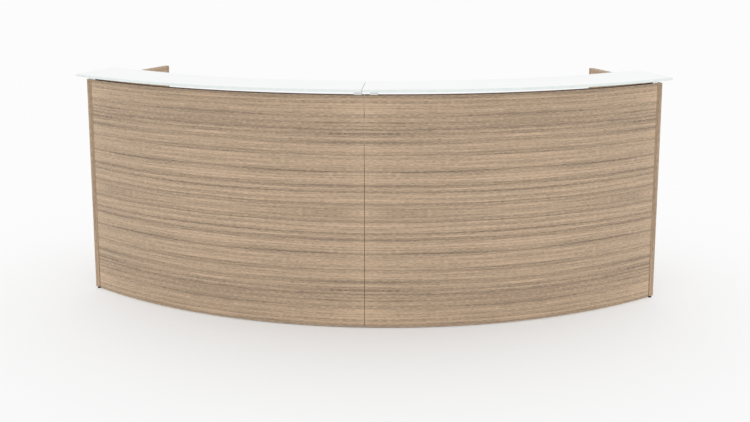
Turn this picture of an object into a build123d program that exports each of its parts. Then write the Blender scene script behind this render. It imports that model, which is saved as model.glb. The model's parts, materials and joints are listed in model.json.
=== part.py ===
from build123d import *
import math
import os

# Bow-front service counter: two bolted modules under a floating glass top.
# Millimetres and degrees. X runs along the counter, -Y faces the public, +Z is up.
# Every piece is drawn about the centre of the curves and moved to the counter's own
# origin, the middle of its footprint on the floor, as it is written.

# --- Curved fronts ---
FRONT_TOP = 1067.0  # floor to the top of the fronts and of the end panels
FRONT_RADIUS = 2178.0  # public face
FRONT_THICK = 25.0
FRONT_LIFT = 5.0  # gap under the fronts
HALF_SPAN = 39.0  # from the middle to each end panel, along the public face
SEAM_GAP = 2.0  # between the two fronts
BAND_THICK = 2.0  # every edge band
EASED_EDGE = 0.6

# --- End panels ---
END_LENGTH = 665.0
END_THICK = 25.0
END_TOE_IN = 20.3  # how far each end panel turns in towards the user
END_PROUD = 2.0  # how far its front edge stands out of the public face
GABLE_LIFT = 9.5  # gables above the floor, filled by the glides
LIPPING_DEPTH = 18.0
LIPPING_ROUND = 1.5

# --- Worktops ---
WORKTOP_TOP = 737.0
WORKTOP_THICK = 25.0
WORKTOP_DEPTH = 565.0
WORKTOP_GAP = 1.0  # to the fronts, the end panels and each other

# --- Centre gables and stiffening rails ---
CENTRE_THICK = 25.0
CENTRE_SETBACK = 50.0  # rear edge behind the user edge of the worktop
RAIL_WIDTH = 80.0
RAIL_THICK = 18.0
RAIL_LIFT = 60.0

# --- Glass tops ---
GLASS_THICK = 12.0
GLASS_GAP = 21.0  # between the fronts and the glass
GLASS_OVERHANG = 77.0  # past the public face
GLASS_DEPTH = 311.0
GLASS_HALF_SPAN = 39.3  # from the middle to each tip, along the front edge
GLASS_END_SLANT = 16.3
GLASS_SEAM_X = -6.5
GLASS_SEAM_GAP = 2.0
GLASS_CORNER = 3.0
GLASS_ARRIS = 0.8

# --- Glass brackets and pads ---
BRACKET_WIDTH = 35.0
BRACKET_REACH = 150.0  # arm behind the fronts
BRACKET_ARM = 8.0
BRACKET_LEG = 6.0
BRACKET_DROP = 60.0  # leg below the top of the fronts
BRACKET_RIB = 6.0
BRACKET_RIB_REACH = 70.0
BRACKET_TIP_ROUND = 12.0
BRACKET_INSET = 0.1  # behind the public face
BRACKET_SCREW_OUT = 10.0  # screws each side of the rib
BRACKET_SCREW_DROPS = (15.0, 42.0)
SEAM_BRACKET_LEFT = 28.5  # from the seam of the fronts to a bracket's middle
SEAM_BRACKET_RIGHT = 42.5
PAD_THICK = 2.0
PAD_RADIUS = 11.0
PAD_ROUND = 0.3
PAD_FROM_TIP = 20.0

# --- Angle brackets, corner brackets and seam plate ---
ANGLE_LEG = 40.0
ANGLE_WIDTH = 20.0
ANGLE_THICK = 2.0
ANGLE_CORNER = 4.0
ANGLE_HOLE_FROM_CORNER = 28.0
ANGLE_MARGIN = 140.0  # from each end of a curved face to its first bracket
FRONT_ANGLES = 4
RAIL_ANGLES = 3
GABLE_ANGLE_FRONT = 130.0  # first bracket behind the fronts
GABLE_ANGLE_REAR = 90.0  # last bracket in front of the user edge
CORNER_LEG = 45.0
CORNER_THICK = 2.5
CORNER_HOLE_FROM_CORNER = 30.0
CORNER_ROWS = 3
CORNER_MARGIN = 70.0  # from the rail and from the worktop to the first bracket
PLATE_LENGTH = 80.0
PLATE_HEIGHT = 30.0
PLATE_THICK = 2.0
PLATE_CORNER = 4.0
PLATE_GAP = 15.0  # its top edge below the legs of the glass brackets
PLATE_SCREW_OUT = (14.0, 30.0)

# --- Screws, dowels and module bolts ---
SCREW_RADIUS = 1.75
SCREW_LENGTH = 16.0
SCREW_HEAD_RADIUS = 3.6
SCREW_HEAD = 2.2
SCREW_HOLE_RADIUS = 2.2  # through metal
SCREW_RECESS = 0.9  # width of the cross recess
RECESS_SHARE = 0.55  # of a head's radius and height that the recess takes
CROWN_SHARE = 0.6  # of a head's height that is rounded
BIG_SCREW_RADIUS = 2.5
BIG_SCREW_LENGTH = 20.0
BIG_SCREW_HEAD_RADIUS = 4.6
BIG_SCREW_HEAD = 2.8
BIG_SCREW_HOLE_RADIUS = 2.9
DOWEL_RADIUS = 4.0
DOWEL_LENGTH = 30.0
DOWEL_IN_END = 12.0
DOWEL_CHAMFER = 1.0
DOWEL_COUNT = 6
DOWEL_MARGIN = 60.0
BOLT_RADIUS = 3.0
BOLT_HEAD_RADIUS = 7.5
BOLT_HEAD = 1.5
BOLT_KEY = 2.3
BOLT_KEY_DEPTH = 3.0
SLEEVE_RADIUS = 4.0
SLEEVE_COVER = 5.0  # sleeve past the joint of the two gables
SLEEVE_TIP = 10.0  # free thread behind the bolt's end
BOLT_FROM_EDGE = 90.0

# --- Levelling glides ---
GLIDE_RADIUS = 10.0
GLIDE_BASE = 6.0
GLIDE_NECK_RADIUS = 7.5
GLIDE_ROUND = 0.8
GLIDE_STEM_RADIUS = 4.0
GLIDE_TRAVEL = 12.0
GLIDE_HOLE_SPARE = 4.0  # free hole above a stem that is fully home
GLIDE_FIT = 0.05  # radial, stem in its insert
GLIDE_FROM_FRONT = 12.0
GLIDE_FROM_REAR = 40.0
INSERT_WALL = 1.6
INSERT_LENGTH = 22.0

# --- Cable grommets ---
GROMMET_RADIUS = 30.0  # hole in the worktop
GROMMET_FROM_FRONT = 75.0
GROMMET_FROM_END = 330.0
LINER_FLANGE = 8.0
LINER_FLANGE_THICK = 2.5
LINER_ROUND = 1.2
LINER_WALL = 2.0
LINER_LEDGE = 3.0
LINER_DEPTH = 20.0
CAP_THICK = 3.0
CAP_FIT = 0.08  # radial, cap in its liner
CAP_SKIRT = 5.0
CAP_SKIRT_WALL = 1.6
CAP_SLOT_WIDTH = 18.0
CAP_SLOT_REACH = 24.0  # from the rim towards the middle

# --- Sizes that follow ---
FRONT_INNER = FRONT_RADIUS - FRONT_THICK
WORKTOP_UNDER = WORKTOP_TOP - WORKTOP_THICK
WORKTOP_OUTER = FRONT_INNER - WORKTOP_GAP
USER_RADIUS = WORKTOP_OUTER - WORKTOP_DEPTH
GLASS_OUTER = FRONT_RADIUS + GLASS_OVERHANG
GLASS_INNER = GLASS_OUTER - GLASS_DEPTH
GLASS_UNDER = FRONT_TOP + GLASS_GAP
BLOCK_HEIGHT = GLASS_GAP - PAD_THICK
PLATE_TOP = FRONT_TOP - BRACKET_DROP - PLATE_GAP
RAIL_TOP = RAIL_LIFT + RAIL_THICK
CORE_TOP = FRONT_TOP - BAND_THICK
GLIDE_STEM = INSERT_LENGTH + GLIDE_TRAVEL
FAR = 4.0 * FRONT_RADIUS  # past the counter on every side


def polar(radius, angle, z=0.0):
    """A point on a circle about the centre of the curves, angle to the right of the middle."""
    turn = math.radians(angle)
    return Vector(radius * math.sin(turn), -radius * math.cos(turn), z)


def station(radius, angle, z=0.0):
    """A place on a curve: x along it to the right, y towards the user, z up."""
    return Pos(*polar(radius, angle, z)) * Rot(0, 0, angle)


def chord_radius(radius, width):
    """How far out a flat piece of this width can sit inside a curve of this radius."""
    return math.sqrt(radius**2 - (width / 2) ** 2)


def arc_angle(length, radius):
    """The angle that an arc of this length takes."""
    return math.degrees(length / radius)


def block(x, y, z):
    """A box given by its two limits along each axis."""
    size = (x[1] - x[0], y[1] - y[0], z[1] - z[0])
    return Pos(x[0], y[0], z[0]) * Box(*size, align=(Align.MIN,) * 3)


def rod(radius, low, high):
    """A cylinder along Z between two heights."""
    return Pos(0, 0, low) * Cylinder(radius, high - low, align=(Align.CENTER, Align.CENTER, Align.MIN))


def spread(first, last, count):
    """Evenly spaced values from first to last."""
    return [first + (last - first) * i / (count - 1) for i in range(count)]


def group(pieces):
    """Separate solids kept in one node."""
    return Compound([s for piece in pieces for s in piece.solids()])


def left(piece):
    """The left module's copy of a right-hand piece."""
    return mirror(piece, about=Plane.YZ)


# The right end panel's own place: x runs back along its inner face, y into the counter.
toe_in = math.radians(END_TOE_IN)
end_back = Vector(-math.sin(toe_in), math.cos(toe_in), 0)
end_corner = polar(FRONT_RADIUS, HALF_SPAN) - end_back * END_PROUD
END = Pos(*end_corner) * Rot(0, 0, 90 + END_TOE_IN)
end_rear = end_corner + end_back * END_LENGTH + Vector(math.cos(toe_in), math.sin(toe_in), 0) * END_THICK
ARC_Y = (GLASS_OUTER - end_rear.Y) / 2  # centre of the curves from the counter's origin


def along_end(radius):
    """How far back along the end panel's inner face a circle about the curves' centre crosses it."""
    lean = end_corner.dot(end_back)
    return -lean - math.sqrt(lean**2 - end_corner.dot(end_corner) + radius**2)


def angle_of(point):
    """Angle of a plan point from the middle of the counter."""
    return math.degrees(math.atan2(point.X, -point.Y))


def sector(inner, outer, z, seam, end_gap=0.0):
    """Right-hand ring segment from x = seam to the end panel's inner face, less a gap."""
    low, high = z
    ring = rod(outer, low, high) - rod(inner, low, high)
    right_half = block((seam, FAR), (-FAR, 0), z)
    inside = END * block((-FAR, FAR), (end_gap, FAR), z)
    return ring & right_half & inside


# --- Fasteners ---
def screw(radius, length, head_radius, head):
    """A pan-head wood screw along Z, its head above z = 0 and its shank below."""
    body = rod(radius, -length, 0) + rod(head_radius, 0, head)
    rim = body.edges().filter_by(GeomType.CIRCLE).sort_by(Axis.Z)[-1]
    body = fillet(rim, CROWN_SHARE * head)
    arm, depth = RECESS_SHARE * head_radius, RECESS_SHARE * head
    for turn in (0, 90):
        slot = block((-arm, arm), (-SCREW_RECESS / 2, SCREW_RECESS / 2), (head - depth, head))
        body -= Rot(0, 0, turn) * slot
    return body


SCREW = screw(SCREW_RADIUS, SCREW_LENGTH, SCREW_HEAD_RADIUS, SCREW_HEAD)
BIG_SCREW = screw(BIG_SCREW_RADIUS, BIG_SCREW_LENGTH, BIG_SCREW_HEAD_RADIUS, BIG_SCREW_HEAD)


def pilots(places, radius=SCREW_RADIUS, length=SCREW_LENGTH):
    """The holes that screws at these places leave in a board."""
    return [place * rod(radius, -length, 0) for place in places]


ANGLE_SCREWS = (
    Pos(0, ANGLE_THICK, -ANGLE_HOLE_FROM_CORNER) * Rot(-90, 0, 0),
    Pos(0, ANGLE_HOLE_FROM_CORNER, -ANGLE_THICK) * Rot(180, 0, 0),
)


def angle_bracket():
    """A bent steel angle: one leg down a panel's face, one under the board above."""
    half = ANGLE_WIDTH / 2
    down = block((-half, half), (0, ANGLE_THICK), (-ANGLE_LEG, 0))
    down = fillet(down.edges().filter_by(Axis.Y).sort_by(Axis.Z)[:2], ANGLE_CORNER)
    out = block((-half, half), (0, ANGLE_LEG), (-ANGLE_THICK, 0))
    out = fillet(out.edges().filter_by(Axis.Z).sort_by(Axis.Y)[-2:], ANGLE_CORNER)
    legs = down + out
    for place in ANGLE_SCREWS:
        legs -= place * rod(SCREW_HOLE_RADIUS, -ANGLE_THICK, 0)
    return legs


def angle_places():
    """Where the right module's angle brackets go."""
    radius = chord_radius(FRONT_INNER, ANGLE_WIDTH)
    seam_side = arc_angle(ANGLE_MARGIN, FRONT_INNER)
    end_side = angle_of(corner) - seam_side
    under = [station(radius, a, WORKTOP_UNDER) for a in spread(seam_side, end_side, FRONT_ANGLES)]
    on_rail = [
        station(radius, a, RAIL_TOP) * Rot(0, 180, 0) for a in spread(seam_side, end_side, RAIL_ANGLES)
    ]
    end_reach = (
        along_end(WORKTOP_OUTER) + GABLE_ANGLE_FRONT,
        along_end(USER_RADIUS) - GABLE_ANGLE_REAR,
    )
    on_end = [END * Pos(s, 0, WORKTOP_UNDER) for s in end_reach]
    centre_reach = (GABLE_ANGLE_FRONT - WORKTOP_OUTER, -centre_rear - GABLE_ANGLE_REAR)
    on_centre = [Pos(CENTRE_THICK, y, WORKTOP_UNDER) * Rot(0, 0, -90) for y in centre_reach]
    touch = -math.sqrt(FRONT_INNER**2 - (CENTRE_THICK + ANGLE_LEG) ** 2)
    to_front = [
        Plane((CENTRE_THICK, touch, z), x_dir=(0, 0, -1), z_dir=(0, -1, 0)).location
        for z in corner_heights
    ]
    return under + on_rail + on_end + on_centre + to_front


def corner_leg():
    """One leg of a corner bracket, along +x from the corner, with its screw hole."""
    half = ANGLE_WIDTH / 2
    leg = block((0, CORNER_LEG), (0, CORNER_THICK), (-half, half))
    hole = Pos(CORNER_HOLE_FROM_CORNER, CORNER_THICK, 0) * Rot(-90, 0, 0)
    return leg - hole * rod(SCREW_HOLE_RADIUS, -CORNER_THICK, 0)


corner = end_corner + end_back * along_end(FRONT_INNER)  # where the front's back meets the end panel
corner_turn = angle_of(corner) - arc_angle(CORNER_LEG, FRONT_INNER) / 2
corner_heights = spread(RAIL_TOP + CORNER_MARGIN, WORKTOP_UNDER - CORNER_MARGIN, CORNER_ROWS)
centre_rear = USER_RADIUS + CENTRE_SETBACK  # rear edge of the centre gables
centre_front = math.sqrt(FRONT_INNER**2 - CENTRE_THICK**2)


def corner_legs(z):
    """The places of a corner bracket's two legs: along the end panel and along the front."""
    on_end = END * Pos(along_end(FRONT_INNER), 0, z)
    on_front = Pos(corner.X, corner.Y, z) * Rot(0, 0, corner_turn)
    return on_end, on_front


def corner_bracket(z):
    on_end, on_front = corner_legs(z)
    return on_end * corner_leg() + on_front * mirror(corner_leg(), about=Plane.YZ)


def corner_screw_places():
    places = []
    for z in corner_heights:
        on_end, on_front = corner_legs(z)
        places.append(on_end * Pos(CORNER_HOLE_FROM_CORNER, CORNER_THICK, 0) * Rot(-90, 0, 0))
        places.append(on_front * Pos(-CORNER_HOLE_FROM_CORNER, CORNER_THICK, 0) * Rot(-90, 0, 0))
    return places


def dowel_places():
    """Dowels across the joint of front and end panel, each with z into the front."""
    middle = (along_end(FRONT_RADIUS) + along_end(FRONT_INNER)) / 2
    heights = spread(FRONT_LIFT + DOWEL_MARGIN, CORE_TOP - DOWEL_MARGIN, DOWEL_COUNT)
    return [END * Pos(middle, 0, z) * Rot(-90, 0, 0) for z in heights]


def dowel(place):
    peg = rod(DOWEL_RADIUS, -DOWEL_IN_END, DOWEL_LENGTH - DOWEL_IN_END)
    return place * chamfer(peg.edges().filter_by(GeomType.CIRCLE), DOWEL_CHAMFER)


def dowel_holes():
    return [place * rod(DOWEL_RADIUS, -DOWEL_IN_END, DOWEL_LENGTH - DOWEL_IN_END) for place in dowel_places()]


# --- Glass brackets ---
BRACKET_SCREWS = [
    Pos(x, BRACKET_LEG, -drop) * Rot(-90, 0, 0)
    for x in (-BRACKET_SCREW_OUT, BRACKET_SCREW_OUT)
    for drop in BRACKET_SCREW_DROPS
]


def glass_bracket():
    """Block on the front's top edge, leg down its back and a ribbed arm under the glass."""
    half = BRACKET_WIDTH / 2
    back = chord_radius(FRONT_INNER, BRACKET_WIDTH)
    face = back - chord_radius(FRONT_RADIUS, BRACKET_WIDTH) + BRACKET_INSET
    arm = block((-half, half), (0, BRACKET_REACH), (BLOCK_HEIGHT - BRACKET_ARM, BLOCK_HEIGHT))
    arm = fillet(arm.edges().filter_by(Axis.Z).sort_by(Axis.Y)[-2:], BRACKET_TIP_ROUND)
    body = arm + block((-half, half), (face, BRACKET_LEG), (0, BLOCK_HEIGHT))
    body += block((-half, half), (0, BRACKET_LEG), (-BRACKET_DROP, BLOCK_HEIGHT))
    arm_under = BLOCK_HEIGHT - BRACKET_ARM
    outline = Polyline(
        (BRACKET_LEG, -BRACKET_DROP),
        (BRACKET_LEG, arm_under),
        (BRACKET_LEG + BRACKET_RIB_REACH, arm_under),
        close=True,
    )
    rib = extrude(Plane.YZ * make_face(outline), BRACKET_RIB / 2, both=True)
    body += rib
    for place in BRACKET_SCREWS:
        body -= place * rod(BIG_SCREW_HOLE_RADIUS, -BRACKET_LEG, 0)
    return body


def bracket_places():
    """Left and right, seam and outer: where the four glass brackets sit."""
    radius = chord_radius(FRONT_INNER, BRACKET_WIDTH)
    outer = HALF_SPAN - arc_angle(BRACKET_WIDTH / 2, FRONT_RADIUS)
    angles = {
        "seam_left": -arc_angle(SEAM_BRACKET_LEFT, FRONT_RADIUS),
        "outer_left": -outer,
        "seam_right": arc_angle(SEAM_BRACKET_RIGHT, FRONT_RADIUS),
        "outer_right": outer,
    }
    return {name: station(radius, a, FRONT_TOP) for name, a in angles.items()}


def bracket_screw_places(side):
    names = [name for name in bracket_places() if name.endswith(side)]
    return [bracket_places()[name] * place for name in names for place in BRACKET_SCREWS]


def glass_pads(side):
    """Clear pads bonded between the brackets and the glass."""
    pad = fillet(rod(PAD_RADIUS, 0, PAD_THICK).edges().filter_by(GeomType.CIRCLE), PAD_ROUND)
    spots = (-FRONT_THICK / 2, BRACKET_REACH - PAD_FROM_TIP)
    places = [p for name, p in bracket_places().items() if name.endswith(side)]
    return group([place * Pos(0, y, BLOCK_HEIGHT) * pad for place in places for y in spots])


# --- Boards ---
def seam_plate():
    """Flat steel plate across the backs of the two fronts."""
    half, y = PLATE_LENGTH / 2, -chord_radius(FRONT_INNER, PLATE_LENGTH)
    plate = block((-half, half), (y, y + PLATE_THICK), (PLATE_TOP - PLATE_HEIGHT, PLATE_TOP))
    plate = fillet(plate.edges().filter_by(Axis.Y), PLATE_CORNER)
    return plate - [place * rod(SCREW_HOLE_RADIUS, -PLATE_THICK, 0) for place in plate_screw_places()]


def plate_screw_places():
    y = PLATE_THICK - chord_radius(FRONT_INNER, PLATE_LENGTH)
    z = PLATE_TOP - PLATE_HEIGHT / 2
    return [Pos(s * x, y, z) * Rot(-90, 0, 0) for x in PLATE_SCREW_OUT for s in (-1, 1)]


def front_panel(side):
    """Bent front of one module, with every screw and dowel hole that enters it."""
    panel = sector(FRONT_INNER, FRONT_RADIUS, (FRONT_LIFT, CORE_TOP), SEAM_GAP / 2)
    seam_edges = panel.edges().filter_by(Axis.Z).sort_by(Axis.X)[:2]
    panel = fillet(seam_edges, EASED_EDGE)
    panel -= dowel_holes() + pilots(corner_screw_places())
    panel -= pilots([place * spot for place in angle_places() for spot in ANGLE_SCREWS])
    if side == "left":
        panel = left(panel)
    panel -= pilots(bracket_screw_places(side), BIG_SCREW_RADIUS, BIG_SCREW_LENGTH)
    return panel - pilots(plate_screw_places())


def front_band():
    """Edge band on the top of a front."""
    return sector(FRONT_INNER, FRONT_RADIUS, (CORE_TOP, FRONT_TOP), SEAM_GAP / 2)


def glide_holes():
    """Stepped hole under a gable for a glide's insert and stem, from the gable's lower edge."""
    hole = rod(GLIDE_STEM_RADIUS + GLIDE_FIT + INSERT_WALL, 0, INSERT_LENGTH)
    return hole + rod(GLIDE_STEM_RADIUS + GLIDE_FIT, 0, GLIDE_STEM + GLIDE_HOLE_SPARE)


def glide_places():
    """The right module's four glides, at the lower edge of its gables."""
    middle = -END_THICK / 2
    centre = CENTRE_THICK / 2
    return {
        "end_front": END * Pos(GLIDE_FROM_FRONT, middle, GABLE_LIFT),
        "end_rear": END * Pos(END_LENGTH - GLIDE_FROM_REAR, middle, GABLE_LIFT),
        "centre_front": Pos(centre, -centre_front + GLIDE_FROM_REAR, GABLE_LIFT),
        "centre_rear": Pos(centre, -centre_rear - GLIDE_FROM_REAR, GABLE_LIFT),
    }


def glide_cuts():
    return [place * glide_holes() for place in glide_places().values()]


def end_panel():
    """Flat board between its two lippings."""
    reach = (LIPPING_DEPTH, END_LENGTH - LIPPING_DEPTH)
    board = END * block(reach, (-END_THICK, 0), (GABLE_LIFT, FRONT_TOP))
    board -= dowel_holes() + pilots(corner_screw_places()) + glide_cuts()
    return board - pilots([place * spot for place in angle_places() for spot in ANGLE_SCREWS])


def end_lipping(front):
    """Solid strip on the front or rear edge of an end panel, its two outer edges rounded."""
    reach = (0, LIPPING_DEPTH) if front else (END_LENGTH - LIPPING_DEPTH, END_LENGTH)
    strip = block(reach, (-END_THICK, 0), (GABLE_LIFT, FRONT_TOP))
    uprights = strip.edges().filter_by(Axis.Z).sort_by(Axis.X)
    strip = END * fillet(uprights[:2] if front else uprights[2:], LIPPING_ROUND)
    return strip - (glide_cuts() + dowel_holes() if front else glide_cuts())


def centre_panel():
    """Gable under the joint of the worktops, one for each module."""
    low = -centre_front
    board = block((0, CENTRE_THICK), (low, -centre_rear - BAND_THICK), (GABLE_LIFT, WORKTOP_UNDER))
    board -= pilots([place * spot for place in angle_places() for spot in ANGLE_SCREWS])
    board -= [place * rod(SLEEVE_RADIUS, 0, CENTRE_THICK) for place in bolt_places()]
    return board - glide_cuts()


def centre_edge():
    """Edge band on the rear of a centre gable."""
    reach = (-centre_rear - BAND_THICK, -centre_rear)
    return block((0, CENTRE_THICK), reach, (GABLE_LIFT, WORKTOP_UNDER))


def bolt_places():
    """Module bolts, each with z along +X from the joint of the gables."""
    low, high = -centre_front + BOLT_FROM_EDGE, -centre_rear - BOLT_FROM_EDGE
    heights = (GABLE_LIFT + BOLT_FROM_EDGE, WORKTOP_UNDER - BOLT_FROM_EDGE)
    return [Pos(0, y, z) * Rot(0, 90, 0) for y in (low, high) for z in heights]


def module_bolt():
    """Connecting bolt with a hexagon socket, its head on the left gable."""
    end = CENTRE_THICK - SLEEVE_TIP
    bolt = rod(BOLT_RADIUS, -CENTRE_THICK, end)
    bolt += rod(BOLT_HEAD_RADIUS, -CENTRE_THICK - BOLT_HEAD, -CENTRE_THICK)
    key = RegularPolygon(BOLT_KEY, 6)
    return bolt - Pos(0, 0, -CENTRE_THICK - BOLT_HEAD) * extrude(key, BOLT_KEY_DEPTH)


def sleeve_nut():
    """Threaded sleeve for a module bolt, its head on the right gable."""
    nut = rod(SLEEVE_RADIUS, -SLEEVE_COVER, CENTRE_THICK)
    nut += rod(BOLT_HEAD_RADIUS, CENTRE_THICK, CENTRE_THICK + BOLT_HEAD)
    return nut - rod(BOLT_RADIUS, -SLEEVE_COVER, CENTRE_THICK - BOLT_HEAD)


def grommet_place():
    """Middle of the right worktop's cable hole, on its upper face."""
    radius = WORKTOP_OUTER - GROMMET_FROM_FRONT
    angle = angle_of(corner) - arc_angle(GROMMET_FROM_END, radius)
    return station(radius, angle, WORKTOP_TOP)


def worktop():
    """Crescent board from the front's back to its banded user edge."""
    z = (WORKTOP_UNDER, WORKTOP_TOP)
    board = sector(USER_RADIUS + BAND_THICK, WORKTOP_OUTER, z, WORKTOP_GAP / 2, WORKTOP_GAP)
    board -= grommet_place() * rod(GROMMET_RADIUS, -WORKTOP_THICK, 0)
    return board - pilots([place * spot for place in angle_places() for spot in ANGLE_SCREWS])


def worktop_edge():
    z = (WORKTOP_UNDER, WORKTOP_TOP)
    return sector(USER_RADIUS, USER_RADIUS + BAND_THICK, z, WORKTOP_GAP / 2, WORKTOP_GAP)


def lower_rail():
    """Curved stiffener behind the foot of a front, between its gables."""
    rail = sector(FRONT_INNER - RAIL_WIDTH, FRONT_INNER, (RAIL_LIFT, RAIL_TOP), CENTRE_THICK)
    return rail - pilots([place * spot for place in angle_places() for spot in ANGLE_SCREWS])


def grommet_liner():
    """Flanged sleeve with a ledge that carries the cap."""
    seat = GROMMET_RADIUS - LINER_WALL
    liner = rod(GROMMET_RADIUS + LINER_FLANGE, 0, LINER_FLANGE_THICK)
    liner = fillet(liner.edges().filter_by(GeomType.CIRCLE).sort_by(Axis.Z)[-1], LINER_ROUND)
    liner += rod(GROMMET_RADIUS, -LINER_DEPTH, 0)
    liner -= rod(seat, LINER_FLANGE_THICK - CAP_THICK, LINER_FLANGE_THICK)
    return grommet_place() * (liner - rod(seat - LINER_LEDGE, -LINER_DEPTH, LINER_FLANGE_THICK))


def grommet_cap():
    """Turning cap with a short skirt and a slot for the cables."""
    seat = GROMMET_RADIUS - LINER_WALL
    under = LINER_FLANGE_THICK - CAP_THICK
    skirt = seat - LINER_LEDGE - CAP_FIT
    cap = rod(seat - CAP_FIT, under, LINER_FLANGE_THICK)
    cap += rod(skirt, under - CAP_SKIRT, under) - rod(skirt - CAP_SKIRT_WALL, under - CAP_SKIRT, under)
    half, tip = CAP_SLOT_WIDTH / 2, seat - CAP_SLOT_REACH + CAP_SLOT_WIDTH / 2
    z = (under - CAP_SKIRT, LINER_FLANGE_THICK)
    slot = block((-half, half), (tip, 2 * seat), z) + Pos(0, tip, 0) * rod(half, *z)
    return grommet_place() * (cap - slot)


def glide():
    """Nylon foot on a threaded stem, screwed fully home, its neck against the gable."""
    foot = rod(GLIDE_RADIUS, -GABLE_LIFT, GLIDE_BASE - GABLE_LIFT)
    foot = fillet(foot.edges().filter_by(GeomType.CIRCLE), GLIDE_ROUND)
    foot += rod(GLIDE_NECK_RADIUS, GLIDE_BASE - GABLE_LIFT, 0)
    return foot + rod(GLIDE_STEM_RADIUS, 0, GLIDE_STEM)


def glide_insert():
    """Threaded steel sleeve in the foot of a gable."""
    bore = GLIDE_STEM_RADIUS + GLIDE_FIT
    return rod(bore + INSERT_WALL, 0, INSERT_LENGTH) - rod(bore, 0, INSERT_LENGTH)


# --- Glass tops ---
def glass_top(side):
    """White glass segment: front and rear arcs, a slanted outer end and a square seam."""
    z = (GLASS_UNDER, GLASS_UNDER + GLASS_THICK)
    ring = rod(GLASS_OUTER, *z) - rod(GLASS_INNER, *z)
    tip = polar(GLASS_OUTER, GLASS_HALF_SPAN)
    inside = Pos(tip.X, tip.Y, 0) * Rot(0, 0, 90 + GLASS_END_SLANT) * block((-FAR, FAR), (0, FAR), z)
    seam = GLASS_SEAM_X if side == "right" else -GLASS_SEAM_X
    top = ring & inside & block((seam + GLASS_SEAM_GAP / 2, FAR), (-FAR, 0), z)
    top = fillet(top.edges().filter_by(Axis.Z), GLASS_CORNER)
    rims = top.faces().sort_by(Axis.Z)
    top = chamfer(rims[0].edges() + rims[-1].edges(), GLASS_ARRIS)
    return top if side == "right" else left(top)


# --- The counter ---
def right_module():
    """Every piece that the two modules have as mirror images."""
    places = angle_places()
    glides = glide_places()
    pieces = {
        "front_top_band": front_band(),
        "end_panel": end_panel(),
        "end_front_lipping": end_lipping(True),
        "end_rear_lipping": end_lipping(False),
        "centre_panel": centre_panel(),
        "centre_edge_band": centre_edge(),
        "worktop": worktop(),
        "worktop_edge_band": worktop_edge(),
        "lower_rail": lower_rail(),
        "angle_brackets": group([place * angle_bracket() for place in places]),
        "angle_bracket_screws": group([place * spot * SCREW for place in places for spot in ANGLE_SCREWS]),
        "corner_brackets": group([corner_bracket(z) for z in corner_heights]),
        "corner_bracket_screws": group([place * SCREW for place in corner_screw_places()]),
        "corner_dowels": group([dowel(place) for place in dowel_places()]),
        "glide_inserts": group([place * glide_insert() for place in glides.values()]),
        "grommet_liner": grommet_liner(),
        "grommet_cap": grommet_cap(),
    }
    for name, place in glides.items():
        pieces["glide_" + name] = place * glide()
    return pieces


def counter():
    """Every node of the counter by name."""
    pieces = {}
    for name, piece in right_module().items():
        pieces[name + "_right"] = piece
        pieces[name + "_left"] = left(piece)
    for side in ("left", "right"):
        pieces["front_panel_" + side] = front_panel(side)
        pieces["glass_top_" + side] = glass_top(side)
        pieces["glass_pads_" + side] = glass_pads(side)
        screws = [place * BIG_SCREW for place in bracket_screw_places(side)]
        pieces["glass_bracket_screws_" + side] = group(screws)
    for name, place in bracket_places().items():
        pieces["glass_bracket_" + name] = place * glass_bracket()
    pieces["seam_plate"] = seam_plate()
    pieces["seam_plate_screws"] = group([place * SCREW for place in plate_screw_places()])
    pieces["module_bolts"] = group([place * module_bolt() for place in bolt_places()])
    pieces["module_sleeve_nuts"] = group([place * sleeve_nut() for place in bolt_places()])
    return pieces


os.makedirs("parts", exist_ok=True)
for name, piece in counter().items():
    export_step(Pos(0, ARC_Y, 0) * piece, "parts/" + name + ".step")
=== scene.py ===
"""Looks of the bow-front service counter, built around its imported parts.

Metres, +Z up, -Y towards the public. The two modules are mirror images about x = 0, so a
board's outline is worked out for the right-hand side and mirrored for the left.
"""

import json
import math

import bpy
import numpy as np
from mathutils.geometry import tessellate_polygon
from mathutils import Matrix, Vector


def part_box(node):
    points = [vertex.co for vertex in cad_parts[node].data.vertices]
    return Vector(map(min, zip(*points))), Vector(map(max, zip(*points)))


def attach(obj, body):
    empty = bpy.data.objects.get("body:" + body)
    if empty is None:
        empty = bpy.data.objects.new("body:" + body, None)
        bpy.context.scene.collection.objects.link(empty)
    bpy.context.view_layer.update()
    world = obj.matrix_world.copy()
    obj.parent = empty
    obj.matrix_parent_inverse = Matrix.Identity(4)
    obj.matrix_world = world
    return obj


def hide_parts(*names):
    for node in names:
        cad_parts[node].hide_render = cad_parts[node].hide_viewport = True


MM = 0.001
ROOT = "counter"
SIDES = {"right": 1.0, "left": -1.0}

# --- Directions that the frame's boxes can't give ---
END_TOE_IN = math.radians(20.3)  # how far each end panel turns in
GLASS_END_SLANT = math.radians(16.3)

# --- Edges ---
BOARD_EASE = 0.7 * MM  # laminate edges, broken by hand
BAND_EASE = 0.4 * MM
LIPPING_ROUND = 1.5 * MM
RIM_SHARE = 0.75  # a rim breaks less than a corner, so that the corner keeps its points where they meet
GLASS_CORNER = 3.0 * MM
GLASS_ARRIS = 0.8 * MM
ARC_STEPS = 120  # along each long curve
CORNER_STEPS = 5
EDGE_STEPS = 3
HOLE_STEPS = 48

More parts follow.
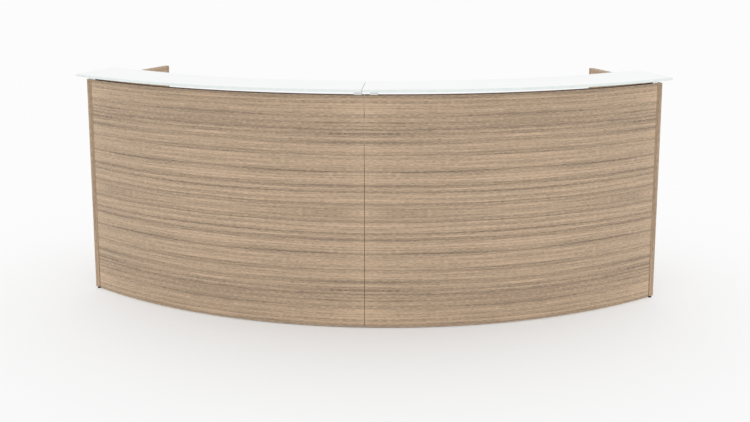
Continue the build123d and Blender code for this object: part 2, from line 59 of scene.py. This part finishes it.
# --- Laminate print, in metres on the board ---
SHEET_REPEAT = 0.740  # the print is mirrored every so far along the grain
SHEET_MIDDLE = 0.535  # and about this height
PALE_FROM, PALE_TO, PALE_GAIN = 0.64, 0.74, 0.08  # lighter towards both ends of a sheet
SWAY = 0.010  # how far a streak wanders from its height
KNOT = (0.655, 0.360)  # along from the sheet's middle, and from its middle height
KNOT_LONG, KNOT_HIGH = 0.018, 0.011  # half sizes of its outer ring
KNOT_RINGS = ((0.0, 0.1), (0.4, 0.45), (0.65, 0.85), (1.0, 0.5))  # share of its half size, and tone
KNOT_DEPTH = 0.5  # share of the tone; far from a knot its rings give KNOT_DEPTH / 2
GROUP_TONE = 0.02  # what one group of streaks takes from the mean tone
FADE_LEAST, FADE_MORE = 0.6, 0.8  # strength of a streak where it is weakest, and what it can gain
MIDDLE_TONE = 0.46
BLACK = [0.0, 0.0, 0.0, 1.0]
DARK, LIGHT = "#766553", "#E7C8A7"  # laminate
STRIP_DARK, STRIP_LIGHT = "#6C5A48", "#DABB9A"  # lippings and bands, a shade deeper
# The band on top of the fronts is coloured dark as painted shade, for the shade under the glass overhang.
SHADE_RIM_DARK, SHADE_RIM_LIGHT = "#33251A", "#775E47"  # the band on top of the fronts

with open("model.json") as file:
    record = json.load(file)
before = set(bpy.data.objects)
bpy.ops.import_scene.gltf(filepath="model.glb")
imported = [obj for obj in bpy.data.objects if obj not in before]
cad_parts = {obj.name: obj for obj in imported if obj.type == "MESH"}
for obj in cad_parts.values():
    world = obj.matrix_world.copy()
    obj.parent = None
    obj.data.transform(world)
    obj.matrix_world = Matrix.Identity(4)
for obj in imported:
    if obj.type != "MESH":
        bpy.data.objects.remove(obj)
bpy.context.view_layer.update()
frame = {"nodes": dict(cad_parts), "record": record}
SLOTS = {part["node"]: part["material_slot"] for part in frame["record"]["subparts"]}


# --- Shapes ---
def corners_of(node, side=1.0):
    """Every corner of a CAD node as rows of x, y, z, the left-hand side mirrored to the right."""
    mesh = frame["nodes"][node].data
    flat = np.empty(3 * len(mesh.vertices), np.float32)
    mesh.vertices.foreach_get("co", flat)
    return flat.reshape(-1, 3).astype(float) * (side, 1.0, 1.0)


def arc_centre(node):
    """The y of the centre of a curved board's outer face, which lies on x = 0.
    A circle through the points (x0, y0) and (x1, y1) with its centre on x = 0 has it at
    (x0^2 + y0^2 - x1^2 - y1^2) / (2 (y0 - y1))."""
    points = corners_of(node)
    x0, y0 = points[points[:, 1].argmin(), :2]
    x1, y1 = points[points[:, 0].argmax(), :2]
    return (x0**2 + y0**2 - x1**2 - y1**2) / (2 * (y0 - y1))


CENTRE_Y = arc_centre("front_panel_right")


def plan_angle(points):
    """Angle of plan points about the centre of the curves, from the middle towards +X."""
    return np.arctan2(points[..., 0], CENTRE_Y - points[..., 1])


def plan_radius(points):
    """Distance of plan points from the centre of the curves."""
    return np.hypot(points[..., 0], points[..., 1] - CENTRE_Y)


def on_arc(radius, first, last):
    """Points on a circle about the centre of the curves, evenly spaced between two angles."""
    turn = np.linspace(first, last, ARC_STEPS + 1)
    return np.stack([radius * np.sin(turn), CENTRE_Y - radius * np.cos(turn)], -1)


def ring_outline(points, slant):
    """Plan outline of a curved board: an outer arc, a straight outer end, an inner arc, a straight seam.
    The end is the outermost line whose outward direction is (cos slant, sin slant). It meets the circle of
    radius r at the angle slant + asin((c - sin(slant) centre_y) / r), c being the line's distance from the
    origin. The seam x = s meets that circle at asin(s / r)."""
    outward = np.array([math.cos(slant), math.sin(slant)])
    reach = (points[:, :2] @ outward).max() - outward[1] * CENTRE_Y
    seam = points[:, 0].min()
    radii = plan_radius(points).max(), plan_radius(points).min()
    ends = [(math.asin(seam / r), slant + math.asin(reach / r)) for r in radii]
    outer = on_arc(radii[0], *ends[0])
    inner = on_arc(radii[1], *ends[1])[::-1]
    corners = (0, ARC_STEPS, ARC_STEPS + 1, 2 * ARC_STEPS + 1)
    return np.vstack([outer, inner]), corners


def slab_outline(points, turn):
    """Plan outline of a flat board whose long side runs in the direction turn: the least such rectangle."""
    along = np.array([math.cos(turn), math.sin(turn)])
    across = np.array([-along[1], along[0]])
    a, b = points[:, :2] @ along, points[:, :2] @ across
    spots = [(a.min(), b.min()), (a.max(), b.min()), (a.max(), b.max()), (a.min(), b.max())]
    return np.array([s * along + t * across for s, t in spots]), (0, 1, 2, 3)


def rounded(outline, corners, radius):
    """The outline with the listed corners rounded. Each becomes an arc tangent to its two sides: with a half
    angle h between the sides, the arc's centre is radius / sin(h) from the corner on their bisector."""
    runs, start = [], 0
    for i in corners:
        corner, before, after = outline[i], outline[i - 1], outline[(i + 1) % len(outline)]
        u = (before - corner) / np.linalg.norm(before - corner)
        v = (after - corner) / np.linalg.norm(after - corner)
        half = math.acos(np.clip(u @ v, -1, 1)) / 2
        middle = corner + (u + v) / np.linalg.norm(u + v) * radius / math.sin(half)
        first = corner + u * radius / math.tan(half) - middle
        last = corner + v * radius / math.tan(half) - middle
        share = np.linspace(0, 1, CORNER_STEPS + 1)[:, None]
        sweep = math.pi - 2 * half
        arc = (first * np.sin((1 - share) * sweep) + last * np.sin(share * sweep)) / math.sin(sweep)
        runs += [outline[start:i], middle + arc]
        start = i + 1
    return np.vstack([*runs, outline[start:]])


def inset(outline, depth):
    """The outline moved inwards by depth: each point goes along the bisector of its two sides' normals n and
    m, by depth (n + m) / (1 + n.m)."""
    side = np.roll(outline, -1, 0) - outline
    normal = np.stack([-side[:, 1], side[:, 0]], -1) / np.linalg.norm(side, axis=1)[:, None]
    before = np.roll(normal, 1, 0)
    return outline + depth * (normal + before) / (1 + (normal * before).sum(1))[:, None]


def wall(outline, low, high, ease, steps):
    """Rings of a board's side: the outline carried up from low to high, its two rims broken by a quarter
    circle of radius ease, as points and as the quads between one ring and the next."""
    turn = np.linspace(0, math.pi / 2, steps + 1)
    sinks, rises = ease * (1 - np.cos(turn)), ease * np.sin(turn)
    if steps == 1:  # a flat 45 degree arris
        sinks, rises = np.array([0, ease]), np.array([0, ease])
    depths = np.concatenate([sinks[::-1], sinks])
    heights = np.concatenate([low + ease - rises[::-1], high - ease + rises])
    rings = [np.column_stack([inset(outline, d), np.full(len(outline), z)]) for d, z in zip(depths, heights)]
    count = len(outline)
    i = np.arange(count)
    base = np.arange(len(rings) - 1)[:, None] * count
    quads = np.stack([base + i, base + (i + 1) % count, base + count + (i + 1) % count, base + count + i], -1)
    return np.vstack(rings), quads.reshape(-1, 4), len(rings)


def circle(x, y, radius):
    """A hole's outline, clockwise so that its wall faces into the hole."""
    turn = -np.linspace(0, 2 * math.pi, HOLE_STEPS, endpoint=False)
    return np.stack([x + radius * np.cos(turn), y + radius * np.sin(turn)], -1)


def plate(name, node, side, outlines, ease, steps, grain, finishes):
    """A board or pane that stands for a CAD node: its outlines, the holes after the first, carried up through
    the node's height and closed by flat caps, which are triangles between the points of the end rings. grain
    gives the two pattern coordinates of its points, and finishes are the materials of its sides, its top and
    its underside."""
    points = corners_of(node, side)
    low, high = points[:, 2].min(), points[:, 2].max()
    walls, quads, feet, heads, total = [], [], [], [], 0
    for outline in outlines:
        co, faces, rings = wall(outline, low, high, ease, steps)
        walls.append(co)
        quads.append(faces + total)
        feet.append(total + np.arange(len(outline)))
        heads.append(feet[-1] + (rings - 1) * len(outline))
        total += len(co)
    co, quads = np.vstack(walls), np.vstack(quads)
    caps = np.array(tessellate_polygon([co[foot].tolist() for foot in feet]))
    feet, heads = np.concatenate(feet), np.concatenate(heads)
    a, b, c = (co[feet[caps[:, k]], :2] for k in range(3))
    clockwise = (b - a)[:, 0] * (c - a)[:, 1] < (b - a)[:, 1] * (c - a)[:, 0]
    caps[clockwise] = caps[clockwise, ::-1]
    parts = [quads, heads[caps], feet[caps][:, ::-1]]
    if side < 0:
        parts = [faces[:, ::-1] for faces in parts]
    mesh = bpy.data.meshes.new(name)
    mesh.from_pydata((co * (side, 1, 1)).tolist(), [], [face for faces in parts for face in faces.tolist()])
    index = np.repeat(np.arange(3, dtype=np.int32), [len(faces) for faces in parts])
    mesh.polygons.foreach_set("material_index", index)
    mesh.shade_smooth()
    loops = np.empty(len(mesh.loops), np.int32)
    mesh.loops.foreach_get("vertex_index", loops)
    uv = grain(co)[loops]
    mesh.uv_layers.new(name="grain").data.foreach_set("uv", uv.astype(np.float32).ravel())
    for finish in finishes:
        mesh.materials.append(finish)
    piece = bpy.data.objects.new(name, mesh)
    bpy.context.scene.collection.objects.link(piece)
    piece.modifiers.new("crisp edges", "WEIGHTED_NORMAL")
    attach(piece, ROOT)
    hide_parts(node)


# --- Materials ---
def linear(colour):
    """An sRGB hex colour as linear RGBA: c / 12.92 up to 0.04045, else ((c + 0.055) / 1.055) ^ 2.4."""
    parts = [int(colour[i : i + 2], 16) / 255 for i in (1, 3, 5)]
    return [c / 12.92 if c <= 0.04045 else ((c + 0.055) / 1.055) ** 2.4 for c in parts] + [1.0]


def add(tree, kind, inputs=(), stops=(), **settings):
    """Adds a shader node and returns its first output. settings are its properties, stops a colour ramp's
    places and colours, and inputs gives each socket, by name or number, a value or another node's output."""
    made = tree.nodes.new("ShaderNode" + kind)
    for name, value in settings.items():
        setattr(made, name, value)
    for i, (place, colour) in enumerate(stops):
        elements = made.color_ramp.elements
        element = elements[i] if i < 2 else elements.new(place)
        element.position, element.color = place, colour
    for socket, value in dict(inputs).items():
        if isinstance(value, bpy.types.NodeSocket):
            tree.links.new(value, made.inputs[socket])
        else:
            made.inputs[socket].default_value = value
    return made.outputs[0]


def material(name, surface, depth, **sockets):
    """A material named for its finish. surface(tree) returns the outputs for its colour and its height, which
    is worth depth, and sockets are constants of its shader."""
    made = bpy.data.materials.new(name)
    made.use_nodes = True
    tree = made.node_tree
    shader = tree.nodes["Principled BSDF"]
    for socket, value in sockets.items():
        shader.inputs[socket].default_value = value
    colour, height = surface(tree)
    tree.links.new(colour, shader.inputs["Base Color"])
    bump = add(tree, "Bump", {"Strength": 1.0, "Distance": depth, "Height": height})
    tree.links.new(bump, shader.inputs["Normal"])
    return made


# Dark streaks of the print, one of them partly painted shade: distance from its middle height, half width,
# both in millimetres, and depth.
# A ramp holds 32 stops and each streak takes three, so they are shared out among three ramps. The last is
# broad and darkens the whole lower part a little.
STREAKS = (
    ((17, 10, 0.13), (38, 11, 0.16), (65, 10, 0.11), (92, 12, 0.28), (121, 14, 0.24), (187, 13, 0.24)),
    ((264, 13, 0.16), (325, 14, 0.20), (354, 14, 0.28), (380, 12, 0.20), (410, 11, 0.13), (436, 11, 0.13)),
    # The streak 523 mm from the middle height lies just inside the top and bottom edges of a front: partly
    # the print, partly painted shade for the shade under the glass overhang and by the floor.
    ((480, 13, 0.13), (501, 11, 0.14), (523, 12, 0.28), (440, 150, 0.10)),
)

# Layers of the grain: repeats a metre along and across it, detail, share of the tone and seed. Across the
# grain they are 111 and 29 mm tides, 11 and 5 mm growth lines, and 3.7 and 1.6 mm flecks of pore. A real
# walnut pore is about 0.2 mm wide, so the flecks are drawn 8 to 18 times as coarse, to show.
LAYERS = (
    (0.6, 9.0, 1.0, 0.16, 3.1),
    (0.7, 34.0, 1.0, 0.36, 6.2),
    (1.0, 90.0, 1.0, 0.46, 2.9),
    (2.4, 190.0, 2.0, 0.78, 1.3),
    (50.0, 270.0, 2.0, 0.90, 5.9),
    (18.0, 620.0, 2.0, 0.50, 8.4),
)
SWAY_WAVE = (1.0, 3.0, 4.4)  # repeats a metre along and across the grain, and seed
FADE_WAVE = (2.5, 12.0, 9.2)


def walnut(dark, light, streaks):
    """Greyed walnut: long slightly wavy streaks and growth lines along the grain, flecks of pore between.
    The print is mirrored every so far along the grain and about its middle height. tone is the sum of each
    layer's noise times its share, less the streaks' depths, and the mean is then moved to MIDDLE_TONE."""

    def surface(tree):
        def noise(spot, wave, detail):
            per_along, per_across, seed = wave
            stretch = {"Vector": spot, "Scale": (per_along, per_across, 1.0), "Location": (0, 0, seed)}
            spread = add(tree, "Mapping", stretch)
            return add(tree, "TexNoise", {"Vector": spread, "Scale": 1.0, "Detail": detail})

        place = add(tree, "SeparateXYZ", {0: add(tree, "UVMap", uv_map="grain")}).node.outputs
        length = add(tree, "Math", {0: place["X"]}, operation="ABSOLUTE")
        length = add(tree, "Math", {0: length, 1: SHEET_REPEAT}, operation="ADD")
        along = add(tree, "Math", {0: length, 1: SHEET_REPEAT}, operation="PINGPONG")
        level = add(tree, "Math", {0: place["Y"], 1: SHEET_MIDDLE}, operation="SUBTRACT")
        across = add(tree, "Math", {0: level}, operation="ABSOLUTE")
        spot = add(tree, "CombineXYZ", {"X": along, "Y": across})
        sway = noise(spot, SWAY_WAVE, 1.0)
        wavy = add(tree, "Math", {0: sway, 1: 2 * SWAY, 2: across}, operation="MULTIPLY_ADD")
        wavy = add(tree, "Math", {0: wavy, 1: SWAY}, operation="SUBTRACT")
        spot = add(tree, "CombineXYZ", {"X": along, "Y": wavy})
        pale = {"Value": along, "From Min": PALE_FROM, "From Max": PALE_TO}
        pale |= {"To Min": 0.0, "To Max": PALE_GAIN}
        tone = add(tree, "MapRange", pale)
        for per_along, per_across, detail, weight, seed in LAYERS:
            grain = noise(spot, (per_along, per_across, seed), detail)
            tone = add(tree, "Math", {0: grain, 1: weight, 2: tone}, operation="MULTIPLY_ADD")
        mean = sum(layer[3] for layer in LAYERS) / 2
        if streaks:
            share = add(tree, "Math", {0: wavy, 1: SHEET_MIDDLE}, operation="DIVIDE")
            fades = noise(spot, FADE_WAVE, 1.0)
            fades = add(tree, "Math", {0: fades, 1: FADE_MORE, 2: FADE_LEAST}, operation="MULTIPLY_ADD")
            for group in streaks:
                stops = [(0.0, BLACK)]
                for height, half, depth in group:
                    spots = ((height + k * half) * MM / SHEET_MIDDLE for k in (-1, 0, 1))
                    stops += zip(spots, (BLACK, [depth] * 3 + [1.0], BLACK))
                ramp = add(tree, "ValToRGB", {0: share}, stops=stops)
                ramp.node.color_ramp.interpolation = "EASE"
                mean -= GROUP_TONE
                drop = add(tree, "Math", {0: ramp, 1: fades}, operation="MULTIPLY")
                tone = add(tree, "Math", {0: tone, 1: drop}, operation="SUBTRACT")
            knot = {"Vector": spot, "Scale": (1 / KNOT_LONG, 1 / KNOT_HIGH, 1.0)}
            knot["Location"] = (-KNOT[0] / KNOT_LONG, -KNOT[1] / KNOT_HIGH, 0.0)
            knot = add(tree, "Mapping", knot)
            away = add(tree, "VectorMath", {0: knot}, operation="LENGTH").node.outputs["Value"]
            rings = [(reach, [ring] * 3 + [1.0]) for reach, ring in KNOT_RINGS]
            eye = add(tree, "ValToRGB", {0: away}, stops=rings)
            tone = add(tree, "Math", {0: eye, 1: KNOT_DEPTH, 2: tone}, operation="MULTIPLY_ADD")
            mean += KNOT_DEPTH / 2
        tone = add(tree, "Math", {0: tone, 1: mean - MIDDLE_TONE}, operation="SUBTRACT")
        paint = add(tree, "ValToRGB", {0: tone}, stops=((0.0, linear(dark)), (1.0, linear(light))))
        return paint, tone

    return surface


def plain(low, high, repeats, stretch=(1.0, 1.0, 1.0)):
    """A moulded, plated, painted or sawn face: an even noise of this many repeats a metre between two
    colours."""

    def surface(tree):
        place = add(tree, "TexCoord").node.outputs["Object"]
        spot = add(tree, "Mapping", {"Vector": place, "Scale": stretch})
        grain = add(tree, "TexNoise", {"Vector": spot, "Scale": repeats})
        paint = add(tree, "ValToRGB", {0: grain}, stops=((0.3, linear(low)), (0.7, linear(high))))
        return paint, grain

    return surface


# Melamine pressed on a matt plate: printed walnut under a clear skin, so it is even in gloss, with pores that
# are barely felt.
LAMINATE = material(
    "walnut_print_melamine_laminate", walnut(DARK, LIGHT, STREAKS), 0.05 * MM, Roughness=0.5
)

# Solid strip under satin lacquer: the same grain set upright, a shade deeper, without the print's streaks.
LIPPING = material(
    "walnut_strip_lacquered", walnut(STRIP_DARK, STRIP_LIGHT, ()), 0.05 * MM, Roughness=0.5
)

# Extruded ABS printed with walnut: smoother than the laminate, so it catches a little more light.
BAND = material(
    "walnut_print_ABS_band", walnut(STRIP_DARK, STRIP_LIGHT, ()), 0.02 * MM, Roughness=0.45
)

# The same extrusion, coloured dark as painted shade: the thin dark line under the glass is the shade that the
# glass overhang casts on the band, painted into its colour.
TOP_BAND_PAINTED_SHADE = material(
    "walnut_ABS_band_painted_shade", walnut(SHADE_RIM_DARK, SHADE_RIM_LIGHT, ()), 0.02 * MM, Roughness=0.45
)

# Cut core, chips of about 3 mm and no finish: mottled straw colour, quite dull.
CHIPBOARD = material(
    "sawn_chipboard", plain("#A58A67", "#D3BC97", 300.0), 0.3 * MM, Roughness=0.9
)

# Float glass painted white behind: opaque, very smooth, with clear sharp reflections. It has no pattern of
# its own, and the tint drifts by a hair over 330 mm.
GLASS_FACE = material(
    "back_painted_float_glass", plain("#F3F5F4", "#F8F9F9", 3.0), 0.0, Roughness=0.05, IOR=1.52
)

# Its ground and polished edge, seen along the sheet: the green of the glass shows, uneven over 33 mm.
GLASS_EDGE = material(
    "polished_glass_edge", plain("#E4ECEA", "#EEF4F2", 30.0), 0.0, Roughness=0.08, IOR=1.52
)

# Extruded, etched and anodised: pale, with soft wide highlights. The die lines run upright; real ones are
# about 0.05 mm apart and are drawn 1.1 mm apart, to show.
ALUMINIUM = material(
    "satin_anodised_aluminium",
    plain("#DCDCDA", "#E6E6E4", 900.0, (1, 1, 0.05)),
    0.01 * MM,
    Roughness=0.45,
    Metallic=1.0,
)

# Pressed steel, zinc plated and passivated: bright cool grey, clouded every 4 mm.
ZINC = material(
    "zinc_plated_steel", plain("#B4B7B8", "#CDCFCF", 250.0), 0.01 * MM, Roughness=0.34, Metallic=1.0
)

# Cast silicone: milky and a little glossy, clouded every 17 mm.
SILICONE = material(
    "clear_silicone_pad", plain("#D9DEDE", "#E6EAEA", 60.0), 0.01 * MM, Roughness=0.3
)

# Turned and fluted, bare: warm and dull, with the 2 mm flecks of its rays.
BEECH = material("fluted_beech_dowel", plain("#BF9C6E", "#DAB98B", 500.0), 0.05 * MM, Roughness=0.7)

# Moulded against a spark-eroded tool: near black, faintly pitted. The real pits are about 0.2 mm and are
# drawn 1.4 mm, to show.
NYLON = material("moulded_black_nylon", plain("#1B1B1C", "#262627", 700.0), 0.02 * MM, Roughness=0.45)

# Moulded ABS with a fine leather-like texture, dark warm grey. The real texture is about 0.3 mm and is drawn
# 1.1 mm, to show.
PLASTIC = material("moulded_grey_ABS", plain("#55524F", "#625F5C", 900.0), 0.03 * MM, Roughness=0.5)


# --- Boards and glass ---
def curved_grain(radius):
    """Pattern coordinates on a curved board: length along the arc, and height plus the distance inwards."""
    return lambda p: np.stack([radius * plan_angle(p), p[:, 2] + (plan_radius(p) - radius)], -1)


def flat_grain(turn, upright):
    """Pattern coordinates on a flat upright board: length along it and height, swapped for vertical grain."""
    along = np.array([math.cos(turn), math.sin(turn)])
    across = np.array([-along[1], along[0]])

    def grain(p):
        length, depth = p[:, :2] @ along, p[:, :2] @ across
        if upright:
            return np.stack([p[:, 2], length + depth], -1)
        return np.stack([length, p[:, 2] + depth], -1)

    return grain


def curved_boards():
    """Bent fronts, their edge bands, the rails and the bands on the worktops, on both sides."""
    for side, sign in SIDES.items():
        for node, ease, finishes in (
            ("front_panel_", BOARD_EASE, (LAMINATE, CHIPBOARD, CHIPBOARD)),
            ("front_top_band_", BAND_EASE, (TOP_BAND_PAINTED_SHADE, TOP_BAND_PAINTED_SHADE, TOP_BAND_PAINTED_SHADE)),
            ("lower_rail_", BOARD_EASE, (LAMINATE, LAMINATE, LAMINATE)),
            ("worktop_edge_band_", BAND_EASE, (BAND, BAND, BAND)),
        ):
            points = corners_of(node + side, sign)
            outline, corners = ring_outline(points, END_TOE_IN)
            grain = curved_grain(plan_radius(points).max())
            outline = rounded(outline, corners, ease)
            rim = RIM_SHARE * ease
            plate("bent_" + node + side, node + side, sign, [outline], rim, EDGE_STEPS, grain, finishes)


def worktops():
    """Crescent worktops with the hole for their cable grommet, grain along each module's chord."""
    for side, sign in SIDES.items():
        node = "worktop_" + side
        points = corners_of(node, sign)
        outline, corners = ring_outline(points, END_TOE_IN)
        low, high = (np.array(c) * (sign, 1, 1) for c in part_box("grommet_liner_" + side))
        liner = corners_of("grommet_liner_" + side, sign)
        middle = (low + high) / 2
        sleeve = liner[liner[:, 2] < points[:, 2].max() - MM]
        radius = np.hypot(sleeve[:, 0] - middle[0], sleeve[:, 1] - middle[1]).max()
        hole = circle(middle[0], middle[1], radius)
        grain = straight_grain(plan_angle(points).mean())
        outlines = [rounded(outline, corners, BOARD_EASE), hole]
        rim = RIM_SHARE * BOARD_EASE
        plate("crescent_" + node, node, sign, outlines, rim, EDGE_STEPS, grain, (LAMINATE,) * 3)


def straight_grain(turn):
    """Pattern coordinates on a worktop: straight grain in the direction turn."""
    along = np.array([math.cos(turn), math.sin(turn)])
    across = np.array([-along[1], along[0]])
    return lambda p: np.stack([p[:, :2] @ along, p[:, :2] @ across - p[:, 2]], -1)


def flat_boards():
    """End panels with their lippings, centre gables with their bands."""
    back = math.pi / 2 + END_TOE_IN
    for side, sign in SIDES.items():
        for node, turn, ease, upright, finishes in (
            ("end_panel_", back, BAND_EASE, False, (LAMINATE, BAND, CHIPBOARD)),
            ("end_front_lipping_", back, LIPPING_ROUND, True, (LIPPING,) * 3),
            ("end_rear_lipping_", back, LIPPING_ROUND, True, (LIPPING,) * 3),
            ("centre_panel_", math.pi / 2, BAND_EASE, False, (LAMINATE, CHIPBOARD, CHIPBOARD)),
            ("centre_edge_band_", math.pi / 2, BAND_EASE, True, (BAND,) * 3),
        ):
            points = corners_of(node + side, sign)
            outline, corners = slab_outline(points, turn)
            outline = rounded(outline, corners, ease)
            grain = flat_grain(turn, upright)
            rim = RIM_SHARE * min(ease, BOARD_EASE)
            plate("board_" + node + side, node + side, sign, [outline], rim, EDGE_STEPS, grain, finishes)


def glass_tops():
    """The two glass panes, corners rounded in plan and every rim arrised."""
    for side, sign in SIDES.items():
        node = "glass_top_" + side
        points = corners_of(node, sign)
        outline, corners = ring_outline(points, GLASS_END_SLANT)
        outline = rounded(outline, corners, GLASS_CORNER)
        grain = curved_grain(plan_radius(points).max())
        finishes = (GLASS_EDGE, GLASS_FACE, GLASS_FACE)
        plate("pane_" + node, node, sign, [outline], GLASS_ARRIS, 1, grain, finishes)


FINISHES = {
    "satin_aluminium": ALUMINIUM,
    "zinc_steel": ZINC,
    "clear_silicone": SILICONE,
    "beech_dowel": BEECH,
    "black_nylon": NYLON,
    "grey_plastic": PLASTIC,
}


def hardware():
    """Gives every CAD node that stays its finish, by the record's slot."""
    for node, slot in SLOTS.items():
        if slot in FINISHES:
            mesh = frame["nodes"][node].data
            mesh.materials.clear()
            mesh.materials.append(FINISHES[slot])


# --- Studio ---
FLOOR_REACH = 45.0
# The floor glows more with distance from the middle of the counter: far off as the white backdrop, near the
# counter as painted light that lifts the floor's shade.
FADE_REACH = 3.2  # from the middle of the counter to where the floor is lost in the surround
WHITE = "#FCFCFC"
FLOOR = "#FCFDFE"
LIGHT_STRENGTH = 1.0

CAMERA_SIDE = 0.279
CAMERA_BACK = 6.630  # in front of the centre of the curves
CAMERA_HEIGHT = 1.686
CAMERA_TURN = math.radians(2.98)
CAMERA_TILT = math.radians(9.35)  # below level
CAMERA_LENS = 49.48
CAMERA_SHIFT = -0.12
CAMERA_SIGHT = 200


def studio():
    """A pale floor that fades into an even white surround, which is all the light, and the camera. The
    floor's glow starts at the middle of the counter: far off it is the backdrop, near the counter it is
    painted light that lifts the floor's shade.
    """
    scene = bpy.context.scene
    world = bpy.data.worlds.new("white_surround")
    world.use_nodes = True
    world.node_tree.nodes["Background"].inputs["Color"].default_value = linear(WHITE)
    world.node_tree.nodes["Background"].inputs["Strength"].default_value = LIGHT_STRENGTH
    scene.world = world
    scene.view_settings.view_transform = "Standard"
    mesh = bpy.data.meshes.new("floor")
    corners = FLOOR_REACH * np.array([(-1, -1, 0), (1, -1, 0), (1, 1, 0), (-1, 1, 0)])
    mesh.from_pydata(corners.tolist(), [], [(0, 1, 2, 3)])
    floor = bpy.data.objects.new("floor", mesh)
    scene.collection.objects.link(floor)
    made = bpy.data.materials.new("white_floor_glowing_as_backdrop_and_painted_light")
    made.use_nodes = True
    tree = made.node_tree
    place = add(tree, "TexCoord").node.outputs["Object"]
    far = add(tree, "VectorMath", {0: place}, operation="LENGTH").node.outputs["Value"]
    fade = {"Value": far, "From Min": 0.0, "From Max": FADE_REACH}
    fade = add(tree, "MapRange", fade, interpolation_type="SMOOTHSTEP")
    shader = tree.nodes["Principled BSDF"]
    shader.inputs["Base Color"].default_value = linear(FLOOR)
    shader.inputs["Roughness"].default_value = 0.9
    shader.inputs["Specular IOR Level"].default_value = 0.1
    glow = add(tree, "Emission", {"Color": linear(WHITE), "Strength": LIGHT_STRENGTH})
    mixed = add(tree, "MixShader", {0: fade, 1: shader.outputs[0], 2: glow})
    tree.links.new(mixed, tree.nodes["Material Output"].inputs["Surface"])
    mesh.materials.append(made)

    lens = bpy.data.cameras.new("camera")
    lens.lens = CAMERA_LENS
    lens.shift_y = CAMERA_SHIFT
    lens.clip_end = CAMERA_SIGHT
    camera = bpy.data.objects.new("camera", lens)
    camera.location = (CAMERA_SIDE, CENTRE_Y - CAMERA_BACK, CAMERA_HEIGHT)
    camera.rotation_euler = (math.pi / 2 - CAMERA_TILT, 0, CAMERA_TURN)
    scene.collection.objects.link(camera)
    scene.camera = camera


curved_boards()
worktops()
flat_boards()
glass_tops()
hardware()
studio()
